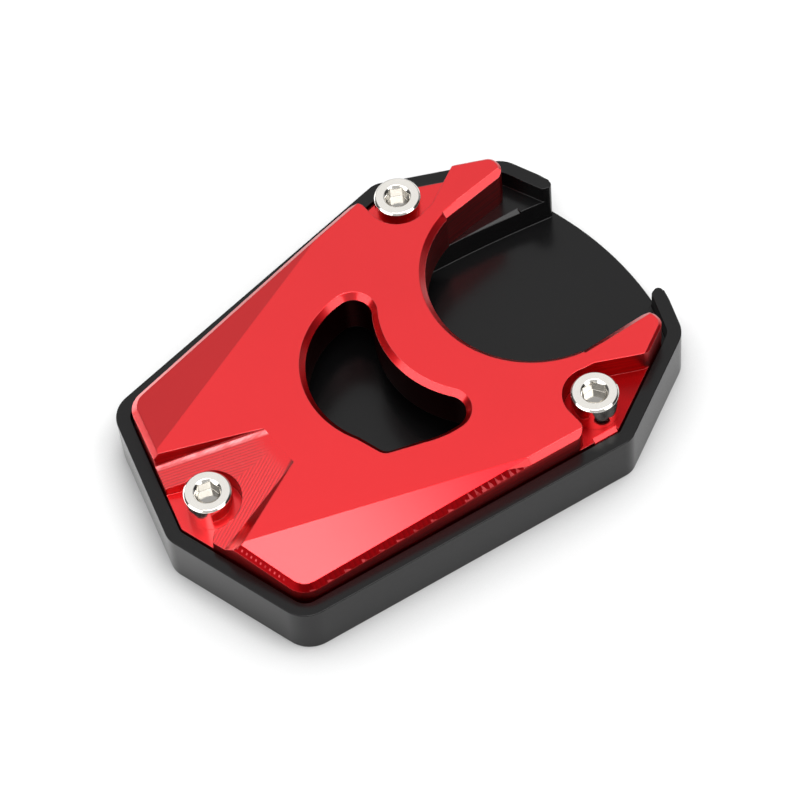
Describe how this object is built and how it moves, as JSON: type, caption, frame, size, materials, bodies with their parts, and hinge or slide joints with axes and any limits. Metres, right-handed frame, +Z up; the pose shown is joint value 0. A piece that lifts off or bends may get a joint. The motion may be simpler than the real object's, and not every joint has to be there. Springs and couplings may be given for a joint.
{
  "type": "kickstand foot enlarger",
  "caption": "Flat foot plate that clamps around a motorbike side stand's foot: a dark tray with a raised rim and an open front, under a red bevelled cover with a crescent window.",
  "frame": {"origin": "middle of the bounding box at the underside of the tray", "axes": "+X to the right, +Y towards the open front where the stand's foot goes in, +Z up"},
  "size_m": [0.0746, 0.1034, 0.0176],
  "materials": {
    "black_anodised": "satin anodised, near black",
    "red_anodised": "satin anodised, bright red, fine machining marks",
    "stainless": "polished stainless steel"
  },
  "bodies": {
    "root": {"base_tray": "black_anodised", "cover_plate": "red_anodised", "screw_rear": "stainless", "screw_left": "stainless", "screw_right": "stainless"}
  },
  "joints": []
}
